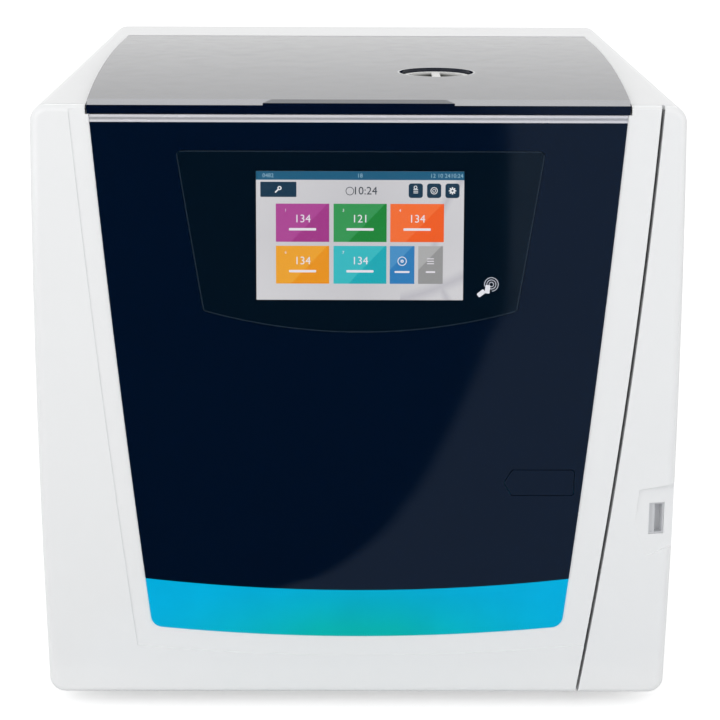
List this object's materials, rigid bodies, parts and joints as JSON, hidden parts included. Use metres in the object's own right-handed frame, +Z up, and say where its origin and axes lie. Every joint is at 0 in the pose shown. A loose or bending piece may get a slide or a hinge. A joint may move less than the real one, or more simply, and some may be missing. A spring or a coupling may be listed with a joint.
{
  "type": "autoclave",
  "caption": "Tabletop steam steriliser with a hinged front door, touch screen, light strip, water tank lid with a filler cap, and instrument trays in a round chamber.",
  "frame": {"origin": "centre of the footprint on the surface it stands on", "axes": "+Z up, -Y out of the front door, +X to the right seen from the front"},
  "size_m": [0.48, 0.6002, 0.4778],
  "materials": {
    "white_shell": "satin",
    "navy_gloss": "gloss",
    "cyan_light": "satin",
    "bright_chrome": "polished",
    "dark_glass": "gloss",
    "black_plastic": "matte",
    "lid_gloss": "gloss",
    "grey_plastic": "matte",
    "white_plastic": "satin",
    "steel_bright": "brushed",
    "steel_plate": "zinc plated",
    "rear_sheet": "powder coated",
    "aluminium_fin": "satin",
    "brass_fitting": "satin",
    "seal_rubber": "matte",
    "insulation_felt": "matte",
    "board_green": "matte",
    "display_picture": "lit display behind glass"
  },
  "bodies": {
    "housing": {"housing_cover": "white_shell", "front_cheek": "white_shell", "data_port": "grey_plastic", "lid_hinge_rod": "steel_plate", "clean_water_tank": "white_plastic", "used_water_tank": "white_plastic", "filler_neck": "white_plastic", "base_tray": "steel_plate", "rubber_feet": "seal_rubber", "front_bulkhead": "steel_bright", "chamber_vessel": "steel_bright", "chamber_flange": "steel_bright", "door_gasket": "seal_rubber", "heater_bands": "steel_plate", "chamber_jacket": "insulation_felt", "chamber_saddles": "steel_plate", "tray_rack": "steel_bright", "steam_generator": "steel_bright", "vacuum_pump": "black_plastic", "valve_block": "brass_fitting", "condenser": "aluminium_fin", "fan_housing": "black_plastic", "rear_panel": "rear_sheet", "rear_panel_screws": "steel_plate", "mains_inlet": "black_plastic", "drain_spigot": "brass_fitting", "safety_valve": "brass_fitting", "main_board": "board_green", "pipework": "steel_bright", "filter_socket": "white_plastic", "drain_couplings": "grey_plastic", "hinge_brackets": "steel_plate", "hinge_pins": "steel_plate", "lock_guide": "steel_plate", "lock_motor": "black_plastic"},
    "door": {"door_frame": "white_shell", "door_panel": "navy_gloss", "light_strip": "cyan_light", "light_strip_board": "board_green", "chrome_trim": "bright_chrome", "screen_glass": "dark_glass", "screen_module": "display_picture", "door_liner": "white_plastic", "door_carrier": "steel_plate", "lock_keepers": "steel_plate", "pad_switch": "black_plastic"},
    "pressure_disc": {"pressure_disc": "steel_bright"},
    "release_pad": {"release_pad": "navy_gloss"},
    "tank_lid": {"tank_lid": "lid_gloss"},
    "cap_seal": {"cap_seal_ring": "seal_rubber"},
    "filler_cap": {"filler_cap": "white_plastic"},
    "tray_1": {"tray_1": "steel_bright"},
    "tray_2": {"tray_2": "steel_bright"},
    "tray_3": {"tray_3": "steel_bright"},
    "bacteria_filter": {"bacteria_filter": "white_plastic"},
    "fan_rotor": {"fan_rotor": "black_plastic"},
    "power_switch": {"power_switch": "black_plastic"},
    "safety_valve_cap": {"safety_valve_cap": "black_plastic"},
    "lock_slider": {"lock_slider": "steel_plate"},
    "lock_screw": {"lock_screw": "steel_plate"}
  },
  "joints": [
    {"name": "door_hinge", "type": "hinge", "parent": "housing", "child": "door", "pos_m": [-0.226, -0.239, 0.225], "axis": [0, 0, -1], "range_deg": [0, 100]},
    {"name": "disc_float", "type": "slide", "parent": "door", "child": "pressure_disc", "axis": [0, -1, 0], "range_m": [0, 0.001], "stiffness_N_per_m": 60000, "springref_m": -0.001},
    {"name": "release_pad_press", "type": "slide", "parent": "door", "child": "release_pad", "axis": [0, 1, 0], "range_m": [0, 0.0025], "stiffness_N_per_m": 1200, "springref_m": -0.001},
    {"name": "tank_lid_hinge", "type": "hinge", "parent": "housing", "child": "tank_lid", "pos_m": [0, 0.203, 0.4675], "axis": [-1, 0, 0], "range_deg": [0, 85]},
    {"name": "cap_lift", "type": "slide", "parent": "housing", "child": "cap_seal", "axis": [0, 0, 1], "range_m": [0, 0.06]},
    {"name": "cap_turn", "type": "hinge", "parent": "cap_seal", "child": "filler_cap", "pos_m": [0.063, -0.116, 0.47], "axis": [0, 0, -1], "range_deg": [0, 60]},
    {"name": "tray_1_slide", "type": "slide", "parent": "housing", "child": "tray_1", "axis": [0, -1, 0], "range_m": [0, 0.25]},
    {"name": "tray_2_slide", "type": "slide", "parent": "housing", "child": "tray_2", "axis": [0, -1, 0], "range_m": [0, 0.25]},
    {"name": "tray_3_slide", "type": "slide", "parent": "housing", "child": "tray_3", "axis": [0, -1, 0], "range_m": [0, 0.25]},
    {"name": "filter_turn", "type": "hinge", "parent": "housing", "child": "bacteria_filter", "pos_m": [-0.178, -0.217, 0.092], "axis": [0, -1, 0], "range_deg": [0, 90]},
    {"name": "fan_spin", "type": "hinge", "parent": "housing", "child": "fan_rotor", "pos_m": [0.189, 0.264, 0.226], "axis": [0, 1, 0], "continuous": true},
    {"name": "power_switch_rock", "type": "hinge", "parent": "housing", "child": "power_switch", "pos_m": [0.13, 0.276, 0.07], "axis": [-1, 0, 0], "range_deg": [0, 14]},
    {"name": "valve_cap_pull", "type": "slide", "parent": "housing", "child": "safety_valve_cap", "axis": [0, 1, 0], "range_m": [0, 0.003], "stiffness_N_per_m": 3000, "springref_m": -0.001},
    {"name": "lock_slide", "type": "slide", "parent": "housing", "child": "lock_slider", "axis": [0, 0, 1], "range_m": [0, 0.012]},
    {"name": "lock_screw_turn", "type": "hinge", "parent": "housing", "child": "lock_screw", "pos_m": [0.176, -0.178, 0.2], "axis": [0, 0, 1], "range_deg": [0, 270]}
  ],
  "couplings": [
    {"joint": "tray_1_slide", "follows": "door_hinge", "m_per_rad": 0.143},
    {"joint": "tray_2_slide", "follows": "door_hinge", "m_per_rad": 0.095},
    {"joint": "tray_3_slide", "follows": "door_hinge", "m_per_rad": 0.048},
    {"joint": "lock_screw_turn", "follows": "lock_slide", "rad_per_m": 392.7}
  ]
}
